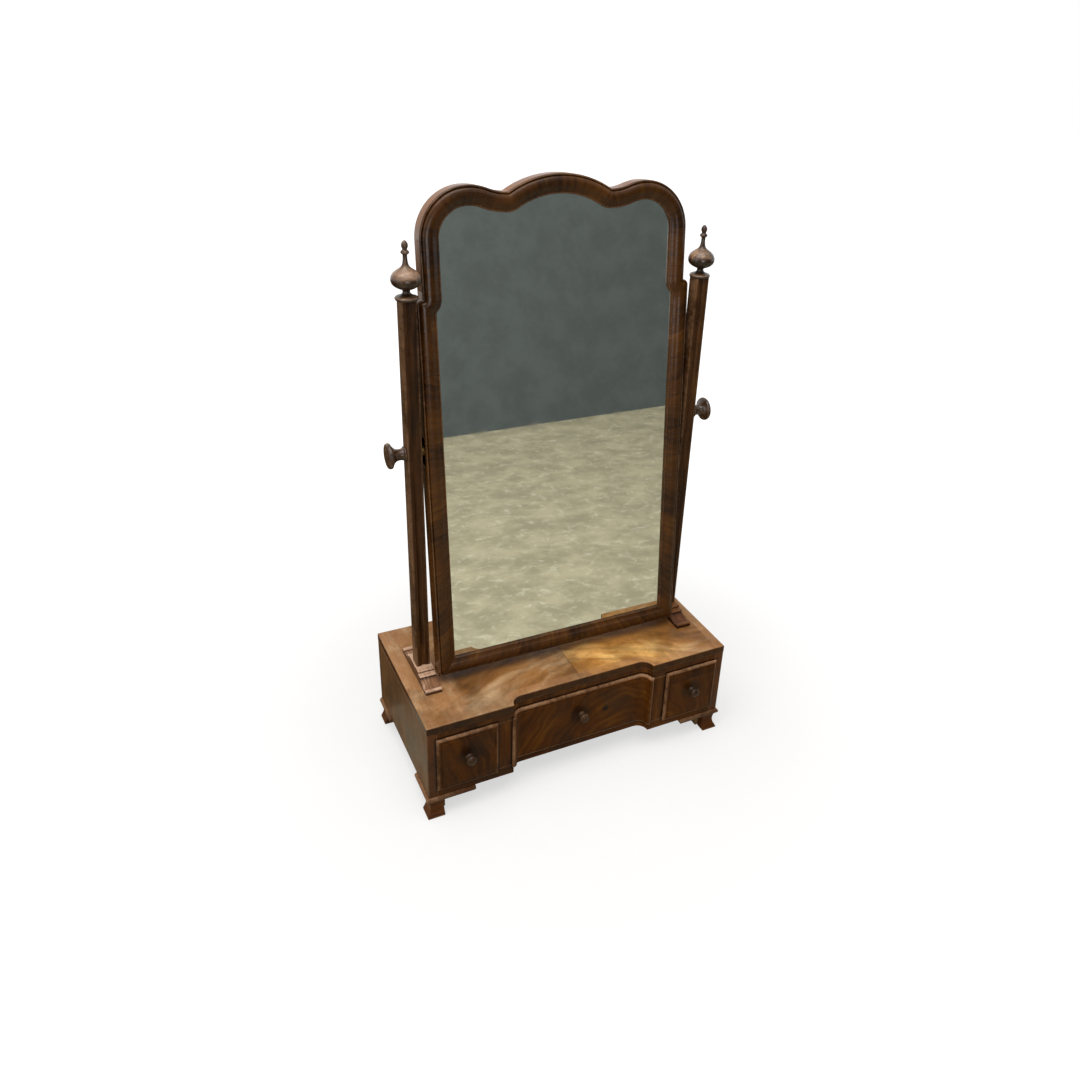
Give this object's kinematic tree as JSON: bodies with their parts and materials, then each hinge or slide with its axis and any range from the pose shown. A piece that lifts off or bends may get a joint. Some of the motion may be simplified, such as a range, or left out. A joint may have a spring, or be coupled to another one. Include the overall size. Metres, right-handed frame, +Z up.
{
  "type": "dressing table mirror with drawers",
  "caption": "Free-standing toilet mirror: a shaped framed glass swings between uprights with turned finials above a low box with a recessed front, drawers and bracket feet.",
  "frame": {"origin": "on the floor, under the middle of the whole object's box", "axes": "+Z up, front with the drawers towards -Y, +X to the right as seen from the front"},
  "size_m": [0.446, 0.2382, 0.7783],
  "materials": {
    "walnut_top": "waxed figured walnut veneer, golden brown",
    "walnut_sides": "dull waxed walnut veneer",
    "walnut_front": "dark waxed walnut veneer",
    "drawer_front_wood": "dark figured walnut veneer, waxed",
    "drawer_lining": "bare oak, aged",
    "lining_wood": "bare pine, aged",
    "foot_wood": "waxed solid walnut",
    "post_wood": "waxed solid walnut",
    "frame_wood": "dark waxed cross-grained walnut",
    "knob_wood": "turned and polished dark wood",
    "mirror_glass": "old silvered plate glass",
    "backboard_wood": "bare pine panel, aged",
    "pivot_brass": "aged brass",
    "nail_iron": "dull iron"
  },
  "bodies": {
    "base": {"top_board": "walnut_top", "bottom_board": "walnut_front", "left_end_panel": "walnut_sides", "right_end_panel": "walnut_sides", "back_board": "lining_wood", "left_partition": "lining_wood", "right_partition": "lining_wood", "left_front_stile": "walnut_front", "right_front_stile": "walnut_front", "top_rail": "walnut_front", "left_drawer_guide": "lining_wood", "right_drawer_guide": "lining_wood", "front_left_foot_front": "foot_wood", "front_left_foot_side": "foot_wood", "front_right_foot_front": "foot_wood", "front_right_foot_side": "foot_wood", "back_left_foot_side": "foot_wood", "back_right_foot_side": "foot_wood", "back_left_foot_back": "lining_wood", "back_right_foot_back": "lining_wood", "foot_blocks": "lining_wood", "left_shoe": "post_wood", "right_shoe": "post_wood", "left_upright": "post_wood", "right_upright": "post_wood", "left_finial": "post_wood", "right_finial": "post_wood"},
    "mirror": {"frame_left_stile": "frame_wood", "frame_right_stile": "frame_wood", "frame_bottom_rail": "frame_wood", "frame_crest": "frame_wood", "mirror_glass": "mirror_glass", "mirror_backboard": "backboard_wood", "glass_blocks": "lining_wood", "backboard_nails": "nail_iron", "left_nut_plate": "pivot_brass", "right_nut_plate": "pivot_brass"},
    "left_thumbscrew": {"left_pivot_knob": "knob_wood", "left_pivot_screw": "pivot_brass"},
    "right_thumbscrew": {"right_pivot_knob": "knob_wood", "right_pivot_screw": "pivot_brass"},
    "left_drawer": {"left_drawer_front": "drawer_front_wood", "left_drawer_left_side": "drawer_lining", "left_drawer_right_side": "drawer_lining", "left_drawer_back": "drawer_lining", "left_drawer_bottom": "drawer_lining", "left_drawer_knob": "knob_wood"},
    "centre_drawer": {"centre_drawer_front": "drawer_front_wood", "centre_drawer_left_side": "drawer_lining", "centre_drawer_right_side": "drawer_lining", "centre_drawer_back": "drawer_lining", "centre_drawer_bottom": "drawer_lining", "centre_drawer_knob": "knob_wood"},
    "right_drawer": {"right_drawer_front": "drawer_front_wood", "right_drawer_left_side": "drawer_lining", "right_drawer_right_side": "drawer_lining", "right_drawer_back": "drawer_lining", "right_drawer_bottom": "drawer_lining", "right_drawer_knob": "knob_wood"}
  },
  "joints": [
    {"name": "mirror_swing", "type": "hinge", "parent": "base", "child": "mirror", "pos_m": [0, 0.0131, 0.4685], "axis": [-1, 0, 0], "range_deg": [-160, 155]},
    {"name": "left_thumbscrew_turn", "type": "hinge", "parent": "base", "child": "left_thumbscrew", "pos_m": [-0.1985, 0.0131, 0.4685], "axis": [-1, 0, 0], "range_deg": [0, 360]},
    {"name": "right_thumbscrew_turn", "type": "hinge", "parent": "base", "child": "right_thumbscrew", "pos_m": [0.1985, 0.0131, 0.4685], "axis": [1, 0, 0], "range_deg": [0, 360]},
    {"name": "left_drawer_slide", "type": "slide", "parent": "base", "child": "left_drawer", "axis": [0, -1, 0], "range_m": [0, 0.13]},
    {"name": "centre_drawer_slide", "type": "slide", "parent": "base", "child": "centre_drawer", "axis": [0, -1, 0], "range_m": [0, 0.13]},
    {"name": "right_drawer_slide", "type": "slide", "parent": "base", "child": "right_drawer", "axis": [0, -1, 0], "range_m": [0, 0.13]}
  ]
}
